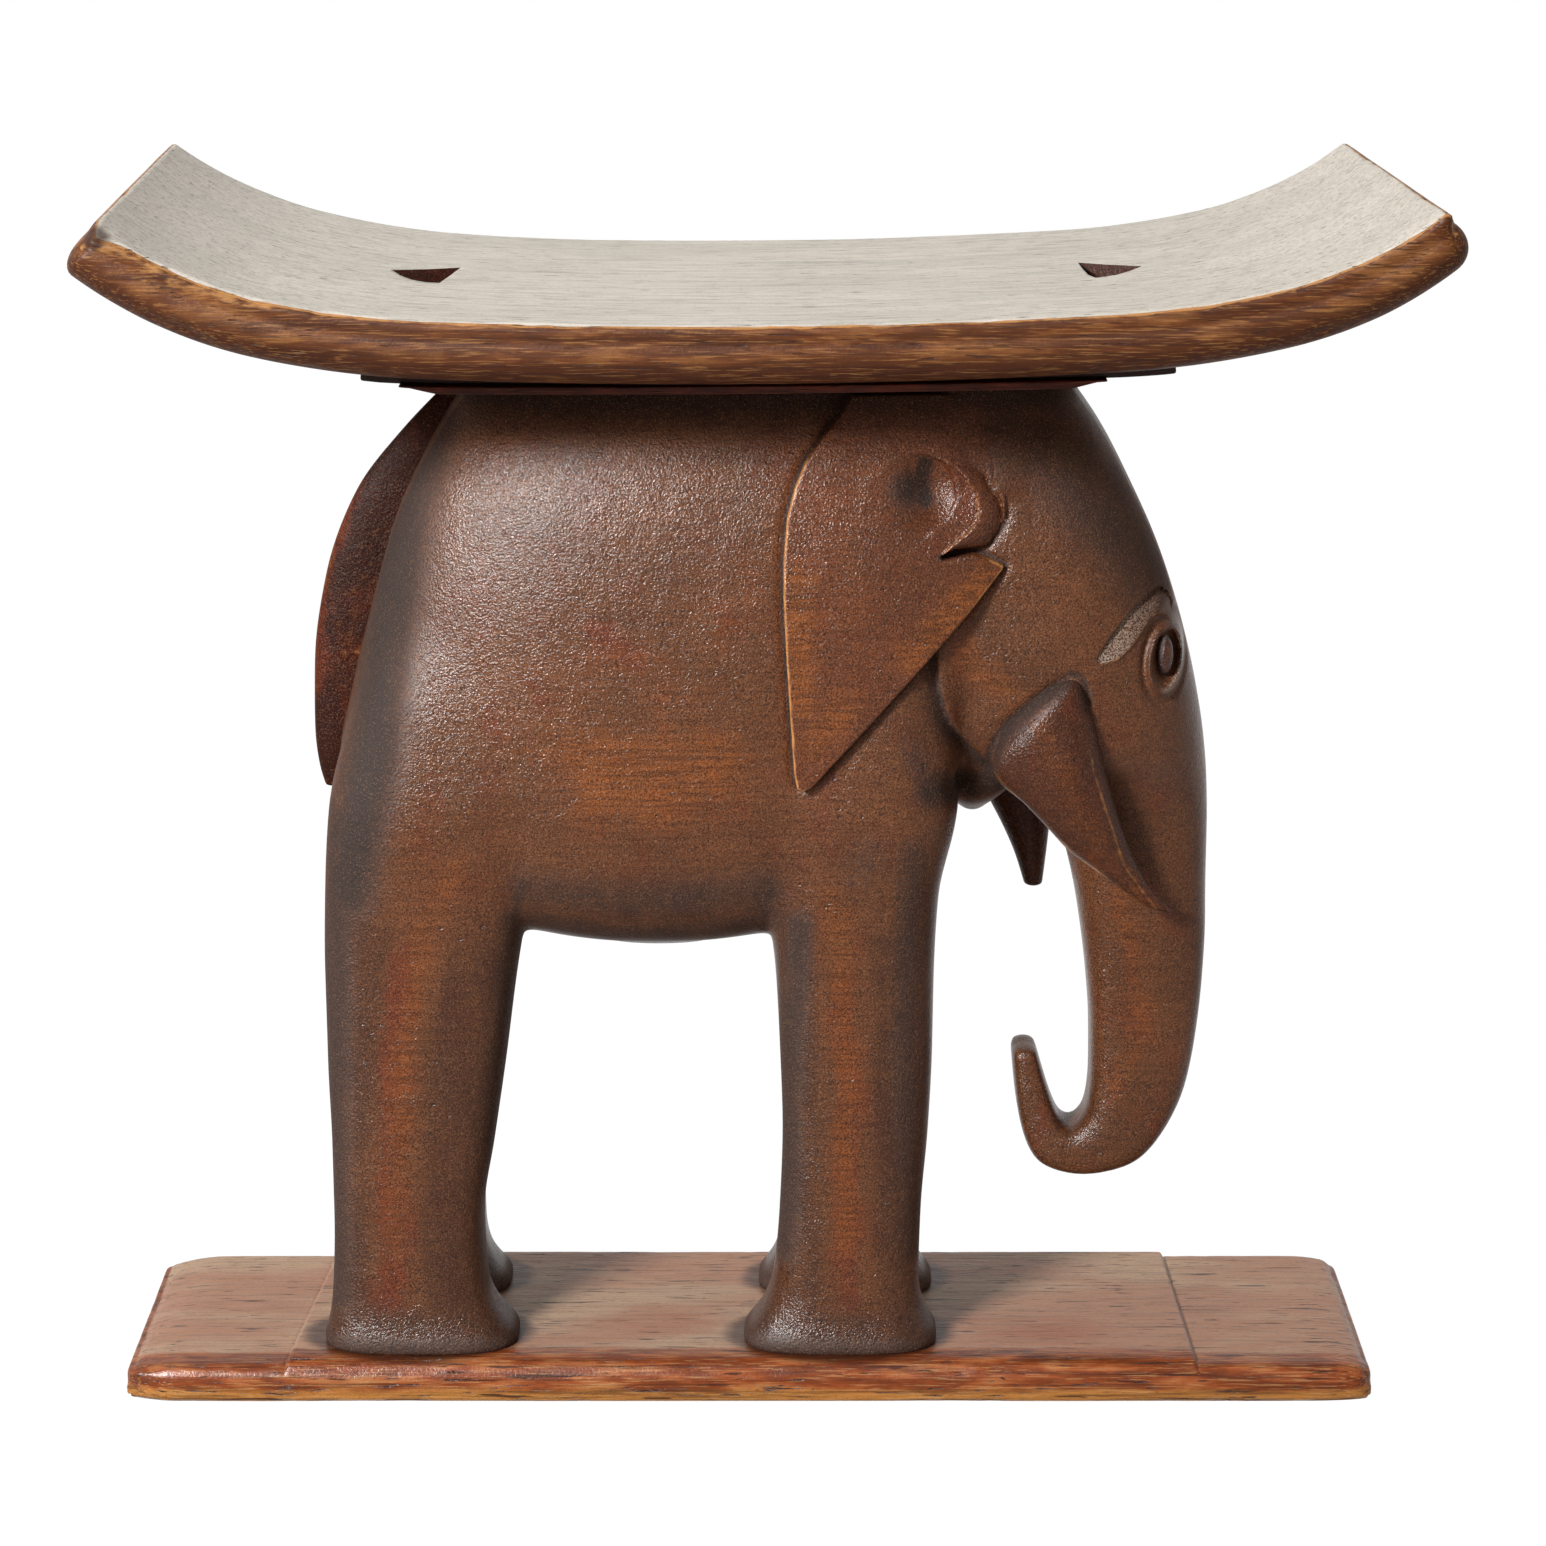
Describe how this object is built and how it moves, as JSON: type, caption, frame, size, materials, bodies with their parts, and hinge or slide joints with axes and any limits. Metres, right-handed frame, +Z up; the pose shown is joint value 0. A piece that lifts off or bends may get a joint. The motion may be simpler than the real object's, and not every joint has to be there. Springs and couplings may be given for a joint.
{
  "type": "elephant stool",
  "caption": "Low wooden stool: a seat that curls up at both ends, on the back of a carved elephant that stands on a long base board.",
  "frame": {"origin": "on the floor, under the middle of the stool's length and depth", "axes": "+X along the stool towards the elephant's trunk, +Y to the elephant's left, +Z up"},
  "size_m": [0.5301, 0.246, 0.5017],
  "materials": {
    "seat": "worn satin lacquer",
    "plate": "satin lacquer",
    "pad": "satin lacquer",
    "elephant": "worn gloss lacquer",
    "base": "worn satin lacquer",
    "dowels": "bare wood",
    "ears": "worn gloss lacquer",
    "eyes": "gloss lacquer",
    "tusks": "worn gloss lacquer"
  },
  "bodies": {
    "root": {"seat": "seat", "seat_plate": "plate", "back_pad": "pad", "elephant": "elephant", "tail": "elephant", "base": "base", "seat_dowels": "dowels", "foot_dowels": "dowels", "ear_left": "ears", "ear_right": "ears", "eye_left": "eyes", "eye_right": "eyes", "tusk_left": "tusks", "tusk_right": "tusks"}
  },
  "joints": []
}
